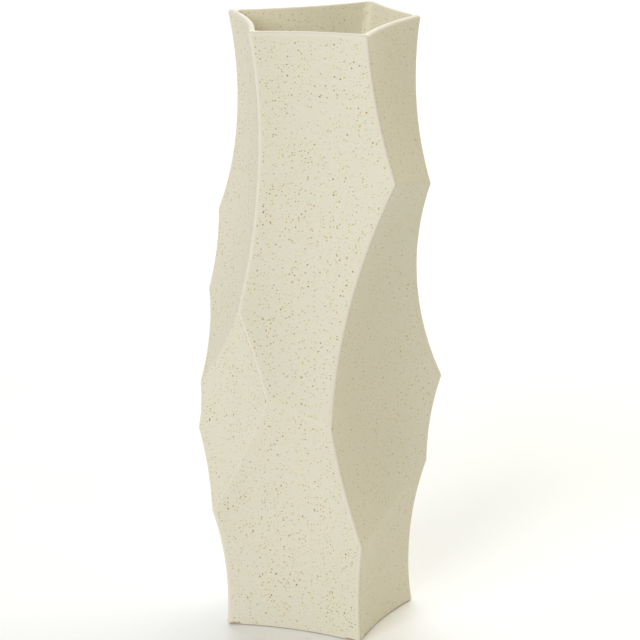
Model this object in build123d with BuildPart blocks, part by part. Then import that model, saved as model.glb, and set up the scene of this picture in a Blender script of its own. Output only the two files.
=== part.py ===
from build123d import *
from collections import namedtuple
from math import cos, radians, sin, sqrt
import os

os.makedirs("parts", exist_ok=True)

# A tall stoneware vase whose outside is a net of shallow scooped facets that meet at rounded ridges.
# Millimetres and degrees. The vase stands on z = 0 with +Z up, and its front faces -Y.

# Overall sizes of the finished vase
height = 500.0
wall = 5.0
floor_level = 8.0

# Glaze thickness, and the height at which the outside coat stops above the bare rounded foot
glaze = 0.4
glaze_line = 3.0

# Rounded edges of the finished vase
edge_radius = 2.5
inner_corner_radius = 4.5
rim_inner_radius = 1.2

# Foot ring round a shallow recess in the underside
foot_ring_width = 12.0
recess_depth = 2.0
recess_corner_radius = 5.0

# One scooped facet of the outside. direction is where it faces, turned from +X towards +Y, and lean
# is how far it tips up from there. Its deepest point is reach from the vase's axis, at the height
# level. across and along are the radii of its hollow, sideways and up the wall.
Facet = namedtuple("Facet", "direction lean reach level across along")
facets = {
    "front_upper": Facet(-98.5, 3.5, 45.0, 345, 220, 480),
    "front_lower": Facet(-110.5, -6.0, 52.5, 90, 230, 420),
    "left_upper": Facet(-168.0, 6.5, 58.0, 350, 180, 550),
    "left_middle": Facet(-142.0, -1.0, 77.0, 205, 300, 370),
    "left_lower": Facet(166.0, -6.0, 65.0, 50, 320, 390),
    "right_upper": Facet(-29.5, 4.0, 61.5, 470, 180, 360),
    "right_middle": Facet(-35.5, 0.5, 42.5, 205, 160, 390),
    "right_lower": Facet(-26.5, -2.5, 55.0, 50, 280, 330),
    "back_right_upper": Facet(31.0, 3.5, 57.5, 365, 230, 500),
    "back_right_lower": Facet(40.0, -3.5, 65.5, 70, 320, 410),
    "back_left_upper": Facet(107.5, 7.0, 47.0, 415, 300, 440),
    "back_left_middle": Facet(129.5, -1.5, 83.5, 285, 300, 220),
    "back_left_lower": Facet(146.5, -2.5, 73.5, 190, 360, 160),
    "back_middle": Facet(94.5, -1.0, 67.0, 225, 270, 300),
    "back_lower": Facet(105.0, -3.0, 56.0, 80, 320, 270),
}

# Place inside the wall where the outside coat and the lining coat meet on top of the rim
coat_meeting_inset = 3.5

# Blank that the facets are scooped from, and the length of a scoop to each side of its middle
blank_side = 230.0
scoop_half_length = 260.0
scoop_end_share = 0.95


def scoop(facet, inset):
    """Hollow one facet out of the blank, with its surface moved inset towards the vase's axis."""
    turn = radians(facet.direction)
    lean = radians(facet.lean)
    outward = Vector(cos(lean) * cos(turn), cos(lean) * sin(turn), sin(lean))
    sideways = Vector(-sin(turn), cos(turn), 0)
    upward = outward.cross(sideways)
    deepest = Vector(facet.reach * cos(turn), facet.reach * sin(turn), facet.level)
    centre = deepest + outward * facet.across
    plane = Plane(origin=centre, x_dir=sideways, z_dir=sideways.cross(upward))
    across = facet.across + inset
    along = facet.along + inset
    half_length = min(scoop_half_length, scoop_end_share * along)
    end_radius = across - along + sqrt(along**2 - half_length**2)
    top_corner = (end_radius, half_length)
    bottom_corner = (end_radius, -half_length)
    axis = Axis(plane.origin, plane.y_dir)
    with BuildSketch(plane) as half_barrel:
        with BuildLine():
            ThreePointArc(bottom_corner, (across, 0), top_corner)
            Polyline(top_corner, (0, half_length), (0, -half_length), bottom_corner)
        make_face()
    revolve(half_barrel.sketch, axis=axis, revolution_arc=180, mode=Mode.SUBTRACT)


def column(bottom, top, inset):
    """Make a sharp-edged column with the vase's facets, moved inset towards the vase's axis."""
    with BuildSketch(Plane.XY.offset(bottom)) as blank:
        Rectangle(blank_side, blank_side)
    extrude(blank.sketch, amount=top - bottom)
    for facet in facets.values():
        scoop(facet, inset)


def vessel(skin, hollow):
    """Make the vase without its foot recess, every surface cut back by skin, round a hollow."""
    column(0, height - skin, skin)
    fillet(edges(), edge_radius - skin)
    add(hollow, mode=Mode.SUBTRACT)
    rim = faces().filter_by(Plane.XY).sort_by(Axis.Z)[-1]
    fillet(rim.inner_wires().edges(), rim_inner_radius - skin)


# Inside of the finished vase, as a solid with rounded corners
with BuildPart() as finished_hollow:
    column(floor_level, height, wall)
    mouth_edges = finished_hollow.edges().group_by(Axis.Z)[-1]
    fillet(finished_hollow.edges() - mouth_edges, inner_corner_radius)

# The same for the bare clay, which is wider by the glaze that lines it
with BuildPart() as clay_hollow:
    column(floor_level - glaze, height, wall - glaze)
    mouth_edges = clay_hollow.edges().group_by(Axis.Z)[-1]
    fillet(clay_hollow.edges() - mouth_edges, inner_corner_radius + glaze)

# The glazed vase as one solid, from which the two coats are taken
with BuildPart() as finished_vase:
    vessel(0, finished_hollow.part)

# The bare clay, before its foot is hollowed
with BuildPart() as clay_vase:
    vessel(glaze, clay_hollow.part)

# Underside recess, with its upright corners rounded
with BuildPart() as foot_recess:
    column(0, recess_depth, foot_ring_width)
    flat_edges = foot_recess.edges().filter_by(Plane.XY)
    fillet(foot_recess.edges() - flat_edges, recess_corner_radius)

# Middle of the wall and all inside it, which parts the lining coat from the outside coat
with BuildPart() as lining_side:
    column(recess_depth, height, coat_meeting_inset)

# Fired clay shell with its floor and foot ring in one piece
with BuildPart() as stoneware_body:
    add(clay_vase.part)
    add(foot_recess.part, mode=Mode.SUBTRACT)

# Glaze over the outside and the outer half of the rim, stopping just above the foot
with BuildPart() as outer_glaze:
    add(finished_vase.part)
    split(bisect_by=Plane.XY.offset(glaze_line), keep=Keep.TOP)
    add(clay_vase.part, mode=Mode.SUBTRACT)
    add(lining_side.part, mode=Mode.SUBTRACT)

# Glaze over the inside, its floor and the inner half of the rim
with BuildPart() as liner_glaze:
    add(finished_vase.part)
    add(clay_vase.part, mode=Mode.SUBTRACT)
    add(lining_side.part, mode=Mode.INTERSECT)

stoneware_body.part.label = "stoneware_body"
outer_glaze.part.label = "outer_glaze"
liner_glaze.part.label = "liner_glaze"
for piece in (stoneware_body, outer_glaze, liner_glaze):
    export_step(piece.part, f"parts/{piece.part.label}.step")
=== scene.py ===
import math

import bpy
import numpy as np
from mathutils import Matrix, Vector, noise
from mathutils.bvhtree import BVHTree


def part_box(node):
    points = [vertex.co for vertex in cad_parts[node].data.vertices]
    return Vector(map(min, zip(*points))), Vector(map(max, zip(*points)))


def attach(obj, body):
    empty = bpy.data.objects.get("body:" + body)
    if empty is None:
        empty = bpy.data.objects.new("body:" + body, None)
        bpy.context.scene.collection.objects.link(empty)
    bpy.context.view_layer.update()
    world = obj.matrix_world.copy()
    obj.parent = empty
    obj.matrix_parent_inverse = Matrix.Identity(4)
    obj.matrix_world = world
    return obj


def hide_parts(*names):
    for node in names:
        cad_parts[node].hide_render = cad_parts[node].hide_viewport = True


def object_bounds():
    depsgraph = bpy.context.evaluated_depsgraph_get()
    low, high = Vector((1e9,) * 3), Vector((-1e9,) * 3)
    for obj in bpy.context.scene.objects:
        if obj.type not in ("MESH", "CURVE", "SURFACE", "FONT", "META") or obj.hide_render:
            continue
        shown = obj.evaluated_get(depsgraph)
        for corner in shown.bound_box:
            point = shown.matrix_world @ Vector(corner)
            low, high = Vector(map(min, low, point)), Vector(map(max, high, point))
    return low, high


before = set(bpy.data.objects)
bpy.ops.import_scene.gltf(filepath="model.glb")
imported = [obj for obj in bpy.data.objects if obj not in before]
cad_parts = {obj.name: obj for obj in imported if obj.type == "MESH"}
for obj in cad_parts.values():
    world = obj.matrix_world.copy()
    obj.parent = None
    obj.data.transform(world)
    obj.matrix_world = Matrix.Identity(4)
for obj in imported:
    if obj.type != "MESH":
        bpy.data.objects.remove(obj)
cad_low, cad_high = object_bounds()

# A speckled, glazed stoneware vase. Metres and radians. Each coat of glaze is a thin closed shell that
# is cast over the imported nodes, with small triangles along the ridges and larger ones on the facets.

MM = 0.001
UP = np.array((0.0, 0.0, 1.0))

outer_low, outer_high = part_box("outer_glaze")
liner_low, liner_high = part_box("liner_glaze")

# The rim is sampled round a core line that runs inside the wall, this far below its top
RIM_CORE_DEPTH = 3.5 * MM
RIM_CORE_STEPS = 720
RIM_ARC_RADIUS = 4 * MM

# The floor and the lowest part of the inner wall are sampled round a point this far above the floor
FLOOR_CENTRE_HEIGHT = 45 * MM
FLOOR_ARC_RADIUS = 40 * MM
FLOOR_HOLE_ANGLE = math.radians(3)

# Mesh spacing: the starting grid, and how far an edge may stray from the curve that it spans on the
# outside, the inside and the hidden back of a coat
COLUMNS = 96
ROW_SPACING = 6 * MM
OUTER_STRAY = 0.035 * MM
LINER_STRAY = 0.05 * MM
HIDDEN_STRAY = 1 * MM

# Longest edge on the outside whose ends face directions that differ by more than this
TURNING_EDGE = 1.3 * MM
LEAST_TURN = math.radians(3)

# How nearly equal two points' places along a surface, or their turns, have to be to count as the same
SAME_ALONG = 1e-9
SAME_TURN = 1e-7

# Smallest packed triangle that counts, as twice its area, and the least cosine between it and its corners'
# normals for those to count
SMALLEST_AREA = 1e-12
LEAST_AGREEMENT = 0.5

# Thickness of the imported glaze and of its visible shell, and the shell's lower end on the foot's edge
GLAZE_THICKNESS = 0.4 * MM
SHELL_THICKNESS = 0.38 * MM
FOOT_LINE = 0.9 * MM

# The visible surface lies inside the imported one, by a depth that wanders between the first of these and
# both added up, and by more along a ridge
LEAST_DEPTH = 0.01 * MM
UNEVENNESS = 0.12 * MM
UNEVENNESS_WIDTH = 45 * MM

# The coat ends at the foot in a rounded bead: its length, its rows of points, and how much of the shell's
# thickness it takes in
BEAD_LENGTH = 1.2 * MM
BEAD_ROWS = (0.0, 0.3 * MM, 0.7 * MM, 1.2 * MM)
BEAD_SHARE = 0.9

# The glaze rounds a ridge over a wider band than its fillet. Each point sinks towards the average of two
# rings of rays, given as a distance and a share of that average, and never deeper than SOFT_DEPTH. This
# fades out over the last SOFT_MARGIN before the rim and before the foot.
SOFT_RINGS = ((1.5 * MM, 0.48), (3.0 * MM, 0.40))
SOFT_RAYS = 8
SOFT_DEPTH = 0.18 * MM
SOFT_MARGIN = 5 * MM

# A ridge is found by looking at the surface this far away to each side
RIDGE_REACH = 2.0 * MM

# Starting distances of the rays that are cast at the surface: from outside the vase, and from near it
FAR = 300 * MM
NEAR = 15 * MM

# Edges that turn more than this are sharp, as where a shell's two skins meet
EDGE_ANGLE = math.radians(55)

# Glaze colours: cream with a slightly greener shade, warm clouds and a fine darker mottle
GLAZE_CREAM = (0.755, 0.715, 0.590)
GLAZE_SHADE = (0.735, 0.705, 0.575)
GLAZE_WARM = (0.760, 0.705, 0.565)
GLAZE_MOTTLE = (0.680, 0.660, 0.540)
# Painted light: the liner is the same glaze as the outside, in brighter tones that stand for light bounced
# round inside the mouth
LINER_CREAM_BRIGHTENED = (0.810, 0.765, 0.610)
LINER_GREENER_BRIGHTENED = (0.790, 0.750, 0.595)

# Sizes of the glaze's patches of tone, from slow changes to grain, and of the swells of its surface
BROAD_WIDTH = 120 * MM
CLOUD_WIDTH = 22 * MM
GRAIN_WIDTH = 1.3 * MM
GLOSS_WIDTH = 9 * MM
SWELL_WIDTH = 14 * MM

# Along a ridge the glaze is pale on top, where it runs thin, and a dark painted shade line of brownish
# glaze lies on the flank turned away from the front. Each of these is given where it starts and where it
# is full, as the bend or the side that ridges() finds, and its strength.
RIDGE_PALE = (0.785, 0.728, 0.620)
PALE_BEND = (0.36, 0.56)
PALE_STRENGTH = 0.8
SHADE_LINE_BROWN = (0.430, 0.310, 0.200)
SHADE_LINE_SIDE = (0.17, 0.36)
SHADE_LINE_STRENGTH = 0.85

# Specks fade out between these bends
SPECKLESS_BEND = (0.24, 0.44)

# Iron specks, in four sizes: spacing, smallest and largest radius, softness, strength, and two colours
# between which each speck falls
SPECKLES = (
    (1.8 * MM, 0.14 * MM, 0.55 * MM, 0.4, 0.85, (0.70, 0.52, 0.02), (0.50, 0.40, 0.03)),
    (2.5 * MM, 0.24 * MM, 0.76 * MM, 0.35, 0.92, (0.58, 0.40, 0.01), (0.36, 0.26, 0.02)),
    (5.0 * MM, 0.42 * MM, 0.86 * MM, 0.3, 1.00, (0.46, 0.28, 0.01), (0.21, 0.13, 0.01)),
    (55 * MM, 0.80 * MM, 2.60 * MM, 1.0, 0.20, (0.60, 0.46, 0.12), (0.48, 0.39, 0.16)),
)

# How strongly the specks show on the side that faces +X, where they are faded as painted light for the
# side in shade, inside the vase, and in the thinnest places of the loose clusters that they fall in
SHADED_SIDE_SPECKS = 0.6
LINER_SPECKS = 0.7
SPARSE_SPECKS = 0.65
CLUSTER_WIDTH = 26 * MM

# A speck's outline is pulled about by noise of this width, by this share of its largest radius
SPECK_WARP_WIDTH = 0.9 * MM
SPECK_WARP = 0.6

# Clay colours, and the sizes of its clouds and its grit
CLAY_LIGHT = (0.740, 0.660, 0.510)
CLAY_DARK = (0.690, 0.600, 0.450)
CLAY_GRIT = (0.420, 0.310, 0.200)
CLAY_SPECK = (0.130, 0.080, 0.030)
CLAY_CLOUD_WIDTH = 18 * MM
CLAY_GRIT_WIDTH = 0.9 * MM

FLOOR_SIZE = 14.0
FLOOR_PALE = (0.860, 0.860, 0.855)
FLOOR_PALER = (0.880, 0.880, 0.875)
FLOOR_PATCH_WIDTH = 400 * MM

# Camera: straight in front, looking down at the vase from well back
CAMERA_ELEVATION = math.radians(17.4)
CAMERA_ANGLE = math.radians(12)
CAMERA_DISTANCE = 2.461
CAMERA_RIGHT = -0.6 * MM
CAMERA_UP = 0.35 * MM

# Soft lights: direction round the vase, elevation, distance, size, power, colour
LIGHTS = {
    "key": (-32, 30, 4.5, 2.5, 112, (0.85, 0.89, 1.0)),
    "back": (180, 35, 5.5, 6.0, 250, (0.80, 0.86, 1.0)),
    "back_right": (130, 35, 2.2, 1.6, 19, (1.0, 0.95, 0.79)),
}
WORLD_COLOUR = (1.0, 0.93, 0.70)
WORLD_STRENGTH = 0.42


def unit(vectors):
    """The same vectors, scaled to a length of 1."""
    return vectors / np.linalg.norm(vectors, axis=-1, keepdims=True)


class Sampled:
    """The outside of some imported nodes, as one smooth surface that rays are cast at."""

    def __init__(self, *names):
        corners, normals = [], []
        for name in names:
            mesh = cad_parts[name].data
            mesh.calc_loop_triangles()
            place = np.empty(len(mesh.vertices) * 3)
            mesh.vertices.foreach_get("co", place)
            facing = np.empty(len(mesh.loops) * 3)
            mesh.corner_normals.foreach_get("vector", facing)
            loops = np.empty(len(mesh.loop_triangles) * 3, int)
            mesh.loop_triangles.foreach_get("loops", loops)
            at = np.empty(len(mesh.loop_triangles) * 3, int)
            mesh.loop_triangles.foreach_get("vertices", at)
            corners.append(place.reshape(-1, 3)[at].reshape(-1, 3, 3))
            normals.append(facing.reshape(-1, 3)[loops].reshape(-1, 3, 3))
        self.corners = np.concatenate(corners)
        self.normals = np.concatenate(normals)
        one, other = (self.corners[:, k] - self.corners[:, 0] for k in (1, 2))
        area = np.cross(one, other)
        keep = np.linalg.norm(area, axis=1) > SMALLEST_AREA
        self.corners = self.corners[keep]
        self.normals = self.normals[keep]
        self.flat = unit(area[keep])
        points = self.corners.reshape(-1, 3)
        faces = np.arange(len(points)).reshape(-1, 3)
        self.tree = BVHTree.FromPolygons(points.tolist(), faces.tolist())

    def cast(self, starts, directions, otherwise=None):
        """Places and normals where the rays first meet the surface, or another normal if they miss."""
        hits = np.empty((len(starts), 3))
        index = np.empty(len(starts), int)
        for i, (start, direction) in enumerate(zip(starts.tolist(), directions.tolist())):
            place, _, found, _ = self.tree.ray_cast(start, direction)
            hits[i] = start if place is None else place
            index[i] = -1 if found is None else found
        places, normals = self.smooth(hits, index)
        if otherwise is not None:
            normals = np.where(index[:, None] < 0, otherwise, normals)
        return places, normals

    def smooth(self, hits, index):
        """Lift points half way from the flat triangles to the planes that their normals describe."""
        corners, normals = self.corners[index], self.normals[index]
        weights = np.empty((len(hits), 3))
        for k in range(3):
            one = corners[:, (k + 1) % 3] - hits
            other = corners[:, (k + 2) % 3] - hits
            weights[:, k] = np.linalg.norm(np.cross(one, other), axis=1)
        weights /= weights.sum(axis=1, keepdims=True)
        flat = self.flat[index][:, None]
        odd = (normals * flat).sum(axis=2) < LEAST_AGREEMENT
        normals = np.where(odd[..., None], flat, normals)
        out = ((hits[:, None] - corners) * normals).sum(axis=2, keepdims=True)
        lift = -(weights[..., None] * out * normals).sum(axis=1) / 2
        facing = unit((weights[..., None] * normals).sum(axis=1))
        return hits + lift, facing


def wrap(turns):
    """The same turns, from -pi to pi."""
    return (turns + math.pi) % (2 * math.pi) - math.pi


glazed = Sampled("outer_glaze", "liner_glaze")
bare = Sampled("stoneware_body")


def around(turns):
    """Level unit vectors that point this far round the vase's axis."""
    return np.stack([np.cos(turns), np.sin(turns), np.zeros_like(turns)], axis=-1)


class RimCore:
    """Line inside the rim's wall, half way through it, at each turn round the axis."""

    def __init__(self):
        self.height = outer_high[2] - RIM_CORE_DEPTH
        self.turns = np.linspace(-math.pi, math.pi, RIM_CORE_STEPS + 1)
        radial = around(self.turns)
        level = self.height * UP
        outside, _ = glazed.cast(level + FAR * radial, -radial)
        inside, _ = glazed.cast(np.broadcast_to(level, radial.shape), radial)
        self.radius = ((outside + inside) / 2 * radial).sum(axis=1)

    def at(self, turns):
        radius = np.interp(wrap(turns), self.turns, self.radius)
        return radius[:, None] * around(turns) + self.height * UP


core = RimCore()


def soften(places, normals, strength):
    """Sink points near a ridge towards the average of the surface around them."""
    sideways = unit(np.cross(UP, normals))
    upwards = np.cross(normals, sideways)
    sunk = np.zeros(len(places))
    mean = normals.copy()
    for number, (reach, share) in enumerate(SOFT_RINGS):
        for ray in range(SOFT_RAYS):
            angle = 2 * math.pi * (ray + number / 2) / SOFT_RAYS
            step = reach * (math.cos(angle) * sideways + math.sin(angle) * upwards)
            hits, facing = glazed.cast(places + step + NEAR * normals, -normals, normals)
            height = ((hits - places) * normals).sum(axis=1)
            near = (np.abs(height) < 2 * reach) * share / SOFT_RAYS
            sunk -= height * near
            mean += (facing - normals) * near[:, None]
    ratio = np.tanh(np.maximum(sunk, 0) * strength / SOFT_DEPTH)
    eased = np.where(ratio > 0, strength * (1 - ratio**2), 0)[:, None]
    return places - normals * SOFT_DEPTH * ratio[:, None], unit(normals + (mean - normals) * eased)


def outer_surface(turns, along):
    """Places and normals outside: along runs from the foot up the wall, then over half the rim."""
    radial = around(turns)
    wall = core.height - FOOT_LINE
    tilt = np.clip((along - wall) / RIM_ARC_RADIUS, 0, math.pi / 2)
    centre = core.at(turns)
    centre[:, 2] = FOOT_LINE + np.minimum(along, wall)
    outward = np.cos(tilt)[:, None] * radial + np.sin(tilt)[:, None] * UP
    reach = np.where(along < wall, FAR, NEAR)
    starts = centre + outward * reach[:, None]
    low = centre[:, 2] < outer_low[2]
    places = np.empty_like(starts)
    normals = np.empty_like(starts)
    places[~low], normals[~low] = glazed.cast(starts[~low], -outward[~low])
    places[low], normals[low] = bare.cast(starts[low], -outward[low])
    places[low] += normals[low] * GLAZE_THICKNESS
    margin = np.minimum(wall - along, centre[:, 2] - outer_low[2])
    strength = np.clip(margin / SOFT_MARGIN, 0, 1)
    soft = strength > 0
    places[soft], normals[soft] = soften(places[soft], normals[soft], strength[soft])
    return places, normals


def liner_surface(turns, along):
    """Places and normals inside: along runs over half the rim, down the wall and across the floor."""
    radial = around(turns)
    rim = RIM_ARC_RADIUS * math.pi / 2
    low = liner_low[2] + FLOOR_CENTRE_HEIGHT
    wall = core.height - low
    tilt = math.pi / 2 + np.clip(along / RIM_ARC_RADIUS, 0, math.pi / 2)
    dip = np.clip((along - rim - wall) / FLOOR_ARC_RADIUS, 0, math.pi / 2)
    over = np.cos(tilt)[:, None] * radial + np.sin(tilt)[:, None] * UP
    axis = (core.height - np.clip(along - rim, 0, wall))[:, None] * UP
    down = np.cos(dip)[:, None] * radial - np.sin(dip)[:, None] * UP
    on_rim = (along < rim)[:, None]
    starts = np.where(on_rim, core.at(turns) + NEAR * over, axis)
    return glazed.cast(starts, np.where(on_rim, -over, down))


class Skin:
    """An adaptive triangle mesh over turns and along, halved until it follows the surface."""

    def __init__(self, surface, length, first_rows=(0.0,)):
        self.surface = surface
        self.length = length
        even = np.linspace(first_rows[-1], length, round(length / ROW_SPACING) + 1)
        rows = np.concatenate([first_rows[:-1], even])
        columns = np.linspace(-math.pi, math.pi, COLUMNS, endpoint=False)
        turn, along = np.meshgrid(columns, rows)
        self.turn = turn.ravel()
        self.along = along.ravel()
        self.place, self.facing = surface(self.turn, self.along)
        number = np.arange(len(rows) * COLUMNS).reshape(len(rows), COLUMNS)
        after = np.roll(number, -1, axis=1)
        a, b, c, d = number[:-1], after[:-1], after[1:], number[1:]
        lower = np.stack([b, c, a], axis=-1).reshape(-1, 3)
        upper = np.stack([d, a, c], axis=-1).reshape(-1, 3)
        self.triangles = np.concatenate([lower, upper])

    def edges(self):
        """Both ends of each triangle's three edges. The middle one is the edge that it is halved at."""
        return np.stack([self.triangles, np.roll(self.triangles, -1, axis=1)])

    def refine(self, stray, longest=math.inf):
        """Halve edges until none strays further than this, or is longer than this where it turns."""
        while True:
            one, other = self.edges()
            size = np.linalg.norm(self.place[one] - self.place[other], axis=2)
            turned = np.arccos(np.clip((self.facing[one] * self.facing[other]).sum(axis=2), -1, 1))
            strays = size * turned / 8 > stray
            too_long = (turned > LEAST_TURN) & (size > longest)
            coarse = (strays | too_long).any(axis=1)
            if not coarse.any():
                return
            self.halve(coarse)

    def halve(self, coarse):
        """Halve these triangles, with whichever others keep the mesh whole."""
        total = len(self.place)
        ends = self.edges()
        keys = ends.min(axis=0) * total + ends.max(axis=0)
        marked = np.unique(keys[coarse, 1])
        while True:
            touched = np.isin(keys, marked).any(axis=1)
            grown = np.unique(np.concatenate([marked, keys[touched, 1]]))
            if len(grown) == len(marked):
                break
            marked = grown
        self.add_middles(marked // total, marked % total)
        for _ in range(2):
            a, b, c = self.triangles.T
            old = (b < total) & (c < total)
            key = np.where(old, np.minimum(b, c) * total + np.maximum(b, c), -1)
            found = np.minimum(np.searchsorted(marked, key), len(marked) - 1)
            split = marked[found] == key
            middle = total + found[split]
            first = np.stack([middle, a[split], b[split]], axis=1)
            second = np.stack([middle, c[split], a[split]], axis=1)
            self.triangles = np.concatenate([self.triangles[~split], first, second])

    def middle_turn(self, one, other):
        """Turn half way between these points, the short way round."""
        return wrap(self.turn[one] + wrap(self.turn[other] - self.turn[one]) / 2)

    def add_middles(self, one, other):
        """Add the surface's points half way between these ones."""
        turn = self.middle_turn(one, other)
        along = (self.along[one] + self.along[other]) / 2
        place, facing = self.surface(turn, along)
        self.turn = np.concatenate([self.turn, turn])
        self.along = np.concatenate([self.along, along])
        self.place = np.concatenate([self.place, place])
        self.facing = np.concatenate([self.facing, facing])

    def border(self, along):
        """Numbers of the points on the first or last row, in order of turn."""
        on_row = np.flatnonzero(np.abs(self.along - along) < SAME_ALONG)
        return on_row[np.argsort(self.turn[on_row])]

    def follow(self, along, turns):
        """Halve the row's edges that have one of these turns in their middle, and say if any had."""
        one, other = self.edges()
        on_row = np.abs(self.along - along) < SAME_ALONG
        middle = self.middle_turn(one, other)
        nearest = turns[np.searchsorted(turns, middle - SAME_TURN) % len(turns)]
        same = np.abs(nearest - middle) < 2 * SAME_TURN
        wanted = (on_row[one] & on_row[other] & same).any(axis=1)
        if wanted.any():
            self.halve(wanted)
        return wanted.any()


def join(*rows):
    """Give rows of different skins the same points, so that they can be sewn together."""
    changed = True
    while changed:
        changed = False
        for (skin, along), (other, other_along) in rows:
            changed |= skin.follow(along, other.turn[other.border(other_along)])
            changed |= other.follow(other_along, skin.turn[skin.border(along)])


def uneven(places):
    """How far a hand-finished surface lies inside the true one, from 0 to 1, changing slowly."""
    values = [noise.noise(Vector(place) / UNEVENNESS_WIDTH) for place in places]
    return np.clip(np.array(values) + 0.5, 0, 1)


def ridges(skin):
    """How sharply the surface bends over at each point, and how far that point faces to one side.

    Both come from the normals a short way off to each side, upwards and downwards. Hollow bends
    count as flat. The side is found on the outside only, below the rim, and is above zero on the
    flank of a ridge that is turned away from the middle of the front, where the painted shade line goes.
    """
    sideways = around(skin.turn + math.pi / 2)
    sideways = unit(sideways - (sideways * skin.facing).sum(axis=1, keepdims=True) * skin.facing)
    upwards = np.cross(skin.facing, sideways)
    seen = []
    for step in (sideways, -sideways, upwards, -upwards):
        starts = skin.place + RIDGE_REACH * step + NEAR * skin.facing
        seen.append(glazed.cast(starts, -skin.facing, skin.facing)[1])
    right, left, above, below = seen
    across, along = (right - left) / 2, (above - below) / 2
    across_side, across_up = ((across * step).sum(axis=1) for step in (sideways, upwards))
    along_side, along_up = ((along * step).sum(axis=1) for step in (sideways, upwards))
    spread = np.hypot(across_side - along_up, across_up + along_side)
    bend = np.clip((across_side + along_up + spread) / 2, 0, 1)
    if skin.surface is not outer_surface:
        return bend, np.zeros_like(bend)
    # Painted shade: the side is above zero where the dark shade line goes, on the flank turned away from
    # the front
    side = ((skin.facing - sum(seen) / 4) * sideways).sum(axis=1) * 2
    on_wall = np.clip((core.height - skin.place[:, 2]) / SOFT_MARGIN, 0, 1)
    return bend, side * np.sign(skin.place[:, 0]) * (bend > 0) * on_wall


def shell(name, front, hidden, closed_row=None):
    """Make a closed coat of glaze from its visible skin and the hidden one under it.

    Its ends are sewn up by a band between the skins. At closed_row each skin has a small hole, which
    is filled by a fan instead.
    """
    depth = LEAST_DEPTH + UNEVENNESS * uneven(front.place)
    if front.surface is outer_surface:
        near = np.clip(1 - front.along / BEAD_LENGTH, 0, 1)
        depth = np.maximum(depth, SHELL_THICKNESS * (1 - np.sqrt(1 - near**2)) * BEAD_SHARE)
    top = front.place - front.facing * depth[:, None]
    under = hidden.place - hidden.facing * SHELL_THICKNESS
    count = len(top)
    places = [top, under]
    faces = [front.triangles, hidden.triangles[:, ::-1] + count]
    for along, flip in ((0.0, False), (front.length, True)):
        f, h = front.border(along), hidden.border(along) + count
        f_next, h_next = np.roll(f, -1), np.roll(h, -1)
        if along == closed_row:
            f_middle, h_middle = count + len(under), count + len(under) + 1
            places += [top[f].mean(axis=0)[None], under[h - count].mean(axis=0)[None]]
            faces.append(np.stack([f, f_next, np.full(len(f), f_middle)], axis=1))
            faces.append(np.stack([h_next, h, np.full(len(h), h_middle)], axis=1))
            continue
        band = [np.stack([f, h, h_next], axis=1), np.stack([f, h_next, f_next], axis=1)]
        faces += [part[:, ::-1] if flip else part for part in band]
    places = np.concatenate(places)
    faces = np.concatenate(faces)
    mesh = bpy.data.meshes.new(name)
    mesh.from_pydata(places.tolist(), [], faces.tolist())
    mesh.shade_smooth()
    mesh.set_sharp_from_angle(angle=EDGE_ANGLE)
    for label, values in zip(("ridge", "shaded_shoulder"), ridges(front)):
        attribute = mesh.attributes.new(label, "FLOAT", "POINT")
        filled = np.zeros(len(places))
        filled[:count] = values
        attribute.data.foreach_set("value", filled)
    piece = bpy.data.objects.new(name, mesh)
    bpy.context.collection.objects.link(piece)
    return piece


rim_arc = RIM_ARC_RADIUS * math.pi / 2
floor_arc = FLOOR_ARC_RADIUS * (math.pi / 2 - FLOOR_HOLE_ANGLE)
outer_length = core.height - FOOT_LINE + rim_arc
liner_length = rim_arc + core.height - liner_low[2] - FLOOR_CENTRE_HEIGHT + floor_arc

outer_front = Skin(outer_surface, outer_length, BEAD_ROWS)
outer_hidden = Skin(outer_surface, outer_length)
liner_front = Skin(liner_surface, liner_length)
liner_hidden = Skin(liner_surface, liner_length)
outer_front.refine(OUTER_STRAY, TURNING_EDGE)
outer_hidden.refine(HIDDEN_STRAY)
liner_front.refine(LINER_STRAY)
liner_hidden.refine(HIDDEN_STRAY)
join(
    ((outer_front, 0.0), (outer_hidden, 0.0)),
    ((outer_front, outer_length), (liner_front, 0.0)),
    ((outer_front, outer_length), (outer_hidden, outer_length)),
    ((liner_front, 0.0), (liner_hidden, 0.0)),
)
outer_coat = shell("outer_glaze_coat", outer_front, outer_hidden)
liner_coat = shell("liner_glaze_coat", liner_front, liner_hidden, closed_row=liner_length)
for coat, node in ((outer_coat, "outer_glaze"), (liner_coat, "liner_glaze")):
    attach(coat, "root")
    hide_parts(node)


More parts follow.
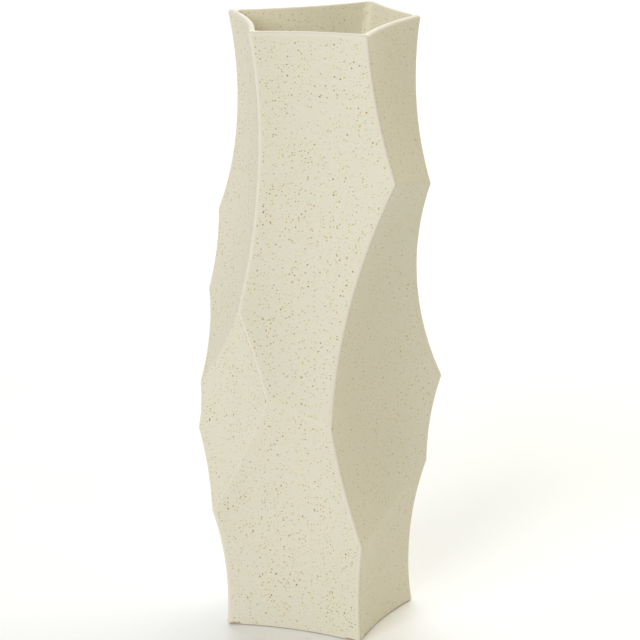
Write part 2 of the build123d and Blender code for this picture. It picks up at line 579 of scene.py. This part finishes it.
class Material:
    """A material's node tree, built by naming each node's inputs."""

    def __init__(self, name):
        self.material = bpy.data.materials.new(name)
        self.material.use_nodes = True
        self.tree = self.material.node_tree
        self.shader = self.tree.nodes["Principled BSDF"]
        self.place = self.add("TexCoord").outputs["Object"]

    def add(self, kind, inputs=(), **settings):
        """Add a node with these inputs, which are sockets to link or plain values, and settings."""
        node = self.tree.nodes.new("ShaderNode" + kind)
        for key, value in settings.items():
            setattr(node, key, value)
        self.fill(node, dict(inputs))
        return node

    def fill(self, node, inputs):
        for key, value in inputs.items():
            if isinstance(value, bpy.types.NodeSocket):
                self.tree.links.new(value, node.inputs[key])
            else:
                node.inputs[key].default_value = value

    def math(self, operation, *values):
        node = self.add("Math", enumerate(values), operation=operation)
        return node.outputs[0]

    def ramp(self, value, low, high, start=0.0, end=1.0):
        """Smooth step from start to end as the value goes from low to high."""
        inputs = {0: value, 1: low, 2: high, 3: start, 4: end}
        return self.add("MapRange", inputs, interpolation_type="SMOOTHSTEP").outputs[0]

    def mix(self, factor, a, b):
        """Mix of two colours."""
        return self.add("Mix", {0: factor, 6: a, 7: b}, data_type="RGBA").outputs[2]

    def bump(self, height, distance, strength, invert=False, **others):
        """Normal of a surface that the height raises by up to this distance, or lowers if inverted."""
        inputs = {"Height": height, "Distance": distance, "Strength": strength, **others}
        return self.add("Bump", inputs, invert=invert).outputs[0]

    def noise(self, width, detail=2.0, roughness=0.5):
        """Smooth noise from 0 to 1 with features about this wide."""
        inputs = {"Vector": self.place, "Scale": 1 / width, "Detail": detail, "Roughness": roughness}
        return self.add("TexNoise", inputs).outputs[0]

    def value(self, name):
        """One of the mesh's own values at each point."""
        return self.add("Attribute", attribute_name=name).outputs["Fac"]

    def dots(self, spacing, smallest, largest, softness, strength=1.0, seed=0.0):
        """Round dots of random size: how strongly each point is covered, and a random number per dot."""
        inputs = {"Vector": self.place, "Scale": 1 / SPECK_WARP_WIDTH, "Detail": 1.0}
        warp = self.add("TexNoise", inputs)
        pull = self.add("VectorMath", {0: warp.outputs["Color"], 1: (-0.5,) * 3}, operation="ADD")
        inputs = {0: pull.outputs[0], "Scale": SPECK_WARP * largest}
        pull = self.add("VectorMath", inputs, operation="SCALE")
        moved = self.add("VectorMath", {0: self.place, 1: pull.outputs[0]}, operation="ADD")
        moved = self.add("VectorMath", {0: moved.outputs[0], 1: (seed,) * 3}, operation="ADD")
        cells = self.add("TexVoronoi", {"Vector": moved.outputs[0], "Scale": 1 / spacing})
        parts = self.add("SeparateColor", {0: cells.outputs["Color"]})
        size = self.ramp(parts.outputs[0], 0.0, 1.0, smallest / spacing, largest / spacing)
        inner = self.math("MULTIPLY", size, 1 - softness)
        inputs = {0: cells.outputs["Distance"], 1: size, 2: inner, 3: 0.0, 4: strength}
        cover = self.add("MapRange", inputs, interpolation_type="SMOOTHSTEP").outputs[0]
        return cover, parts.outputs[1]


def glaze_material(name, cream, shade, specks=1.0):
    """Satin speckled glaze, in these two tones and with its specks this strong."""
    m = Material(name)
    broad = m.noise(BROAD_WIDTH, 1.0)
    cloud = m.noise(CLOUD_WIDTH, 3.0, 0.6)
    grain = m.noise(GRAIN_WIDTH, 2.0, 0.6)
    colour = m.mix(m.ramp(broad, 0.35, 0.65), (*cream, 1), (*shade, 1))
    colour = m.mix(m.ramp(cloud, 0.3, 0.75, 0.0, 0.35), colour, (*GLAZE_WARM, 1))
    colour = m.mix(m.ramp(grain, 0.35, 0.75, 0.0, 0.16), colour, (*GLAZE_MOTTLE, 1))
    bend = m.value("ridge")
    pale = m.ramp(bend, *PALE_BEND, 0.0, PALE_STRENGTH)
    speckled = m.ramp(bend, *SPECKLESS_BEND, 1.0, 0.0)
    facing = m.add("SeparateXYZ", {0: m.add("TexCoord").outputs["Normal"]}).outputs[0]
    clusters = m.ramp(m.noise(CLUSTER_WIDTH, 2.0), 0.3, 0.7, SPARSE_SPECKS * specks, specks)
    # Painted light: specks fade on the side that faces +X, which lies in shade
    clusters = m.math("MULTIPLY", clusters, m.ramp(facing, 0.2, 0.6, 1.0, SHADED_SIDE_SPECKS))
    height = 0.0
    for spacing, smallest, largest, softness, strength, light, dark in SPECKLES:
        cover, pick = m.dots(spacing, smallest, largest, softness, strength, seed=spacing * 7)
        cover = m.math("MULTIPLY", m.math("MULTIPLY", cover, clusters), speckled)
        tint = m.mix(pick, (*light, 1), (*dark, 1))
        colour = m.mix(cover, colour, tint)
        height = m.math("ADD", height, cover)
    colour = m.mix(pale, colour, (*RIDGE_PALE, 1))
    # Painted shade: a dark brownish line along the flank of each ridge that is turned away from the front
    shade_line = m.ramp(m.value("shaded_shoulder"), *SHADE_LINE_SIDE, 0.0, SHADE_LINE_STRENGTH)
    colour = m.mix(shade_line, colour, (*SHADE_LINE_BROWN, 1))
    rough = m.ramp(m.noise(GLOSS_WIDTH, 3.0), 0.2, 0.8, 0.50, 0.62)
    rough = m.math("ADD", rough, m.ramp(grain, 0.2, 0.8, -0.03, 0.05))
    normal = m.bump(m.noise(SWELL_WIDTH, 2.0), 0.25 * MM, 0.6)
    normal = m.bump(grain, 0.05 * MM, 0.7, Normal=normal)
    normal = m.bump(height, 0.008 * MM, 0.5, Normal=normal, invert=True)
    m.fill(m.shader, {"Base Color": colour, "Roughness": rough, "Normal": normal})
    m.fill(m.shader, {"IOR": 1.5, "Specular IOR Level": 0.3})
    return m.material


def clay_material(name):
    """Dry, gritty fired clay."""
    m = Material(name)
    cloud = m.noise(CLAY_CLOUD_WIDTH, 4.0, 0.6)
    grit = m.noise(CLAY_GRIT_WIDTH, 3.0, 0.7)
    colour = m.mix(m.ramp(cloud, 0.3, 0.7), (*CLAY_LIGHT, 1), (*CLAY_DARK, 1))
    colour = m.mix(m.ramp(grit, 0.45, 0.75, 0.0, 0.5), colour, (*CLAY_GRIT, 1))
    cover, _ = m.dots(2.4 * MM, 0.2 * MM, 0.6 * MM, 0.5, 0.8)
    colour = m.mix(cover, colour, (*CLAY_SPECK, 1))
    rough = m.ramp(grit, 0.2, 0.8, 0.78, 0.95)
    normal = m.bump(grit, 0.15 * MM, 0.8)
    m.fill(m.shader, {"Base Color": colour, "Roughness": rough, "Normal": normal})
    m.fill(m.shader, {"Specular IOR Level": 0.3})
    return m.material


def floor_material(name):
    """Plain pale backdrop with faint slow patches."""
    m = Material(name)
    tone = m.ramp(m.noise(FLOOR_PATCH_WIDTH, 2.0), 0.3, 0.7)
    colour = m.mix(tone, (*FLOOR_PALE, 1), (*FLOOR_PALER, 1))
    m.fill(m.shader, {"Base Color": colour, "Roughness": 0.6})
    return m.material


outer_glaze = glaze_material("outer_speckled_glaze", GLAZE_CREAM, GLAZE_SHADE)
outer_coat.data.materials.append(outer_glaze)
# Painted light: the liner's brighter tones stand for light bounced round inside the mouth
liner_glaze = glaze_material("liner_speckled_glaze", LINER_CREAM_BRIGHTENED, LINER_GREENER_BRIGHTENED, LINER_SPECKS)
liner_coat.data.materials.append(liner_glaze)
clay = clay_material("bare_buff_clay")
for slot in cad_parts["stoneware_body"].material_slots:
    slot.material = clay

half = FLOOR_SIZE / 2
floor_corners = [(-half, -half, 0), (half, -half, 0), (half, half, 0), (-half, half, 0)]
floor_mesh = bpy.data.meshes.new("floor")
floor_mesh.from_pydata(floor_corners, [], [(0, 1, 2, 3)])
floor_mesh.materials.append(floor_material("pale_floor"))
floor = bpy.data.objects.new("floor", floor_mesh)
bpy.context.collection.objects.link(floor)

centre = (cad_low + cad_high) / 2
view_back = Vector((0, -math.cos(CAMERA_ELEVATION), math.sin(CAMERA_ELEVATION)))


def light(name, direction, elevation, distance, size, power, colour):
    """A soft square light that faces the vase. direction 0 is in front of it and 90 is at its right."""
    lamp = bpy.data.lights.new(name, "AREA")
    lamp.shape = "SQUARE"
    lamp.size = size
    lamp.energy = power
    lamp.color = colour
    item = bpy.data.objects.new(name, lamp)
    turn, lift = math.radians(direction), math.radians(elevation)
    level = math.cos(lift)
    back = Vector((math.sin(turn) * level, -math.cos(turn) * level, math.sin(lift)))
    item.location = centre + back * distance
    item.rotation_euler = back.to_track_quat("Z", "Y").to_euler()
    bpy.context.collection.objects.link(item)


for name, values in LIGHTS.items():
    light(name, *values)
world = bpy.data.worlds.new("studio")
world.use_nodes = True
background = world.node_tree.nodes["Background"]
background.inputs["Color"].default_value = (*WORLD_COLOUR, 1)
background.inputs["Strength"].default_value = WORLD_STRENGTH
bpy.context.scene.world = world

camera = bpy.data.objects.new("camera", bpy.data.cameras.new("camera"))
bpy.context.collection.objects.link(camera)
camera.data.angle = CAMERA_ANGLE
camera.rotation_euler = view_back.to_track_quat("Z", "Y").to_euler()
camera.location = centre + view_back * CAMERA_DISTANCE
camera.location += camera.rotation_euler.to_matrix() @ Vector((CAMERA_RIGHT, CAMERA_UP, 0))
bpy.context.scene.camera = camera
bpy.context.scene.view_settings.view_transform = "Standard"
